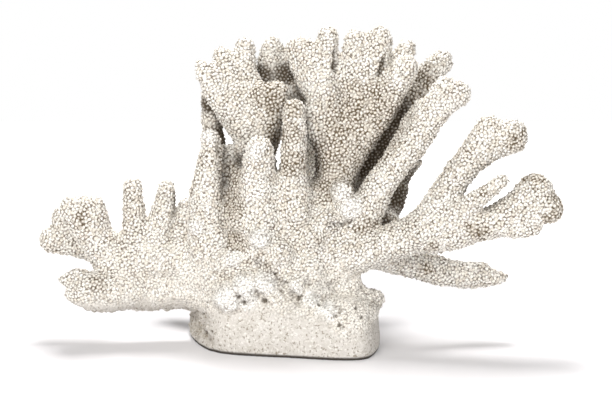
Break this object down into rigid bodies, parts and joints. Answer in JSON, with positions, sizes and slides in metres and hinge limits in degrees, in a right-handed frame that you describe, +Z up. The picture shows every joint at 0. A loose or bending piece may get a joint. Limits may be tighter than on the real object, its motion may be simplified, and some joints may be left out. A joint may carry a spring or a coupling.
{
  "type": "branching coral specimen",
  "caption": "White branching coral with upright fans, forked side arms and a knobbly skin, cut off flat at a smooth plaster-like foot that it stands on",
  "frame": {"origin": "middle of the flat cut underside of the foot, on the surface that the coral stands on", "axes": "+X to the right as the picture shows it, along the longest spread of the branches; +Y away from the viewer; +Z up, along the growth of the fans"},
  "size_m": [0.3901, 0.1733, 0.2371],
  "materials": {
    "coral": "matte",
    "foot": "matte"
  },
  "bodies": {
    "root": {"back_left_fan": "coral", "back_left_finger": "coral", "back_right_branch": "coral", "centre_fan": "coral", "front_finger": "coral", "front_left_column": "coral", "left_arm": "coral", "left_inner_finger": "coral", "left_lower_knobs": "coral", "left_outer_finger": "coral", "left_paddle": "coral", "rear_fan": "coral", "rear_left_branch": "coral", "rear_left_low_branch": "coral", "rear_low_branch": "coral", "rear_right_branch": "coral", "right_arm": "coral", "right_lower_branch": "coral", "right_paddle": "coral", "right_upper_branch": "coral", "shaded_branch": "coral", "trunk": "coral", "upper_right_branch": "coral", "foot": "foot"}
  },
  "joints": []
}
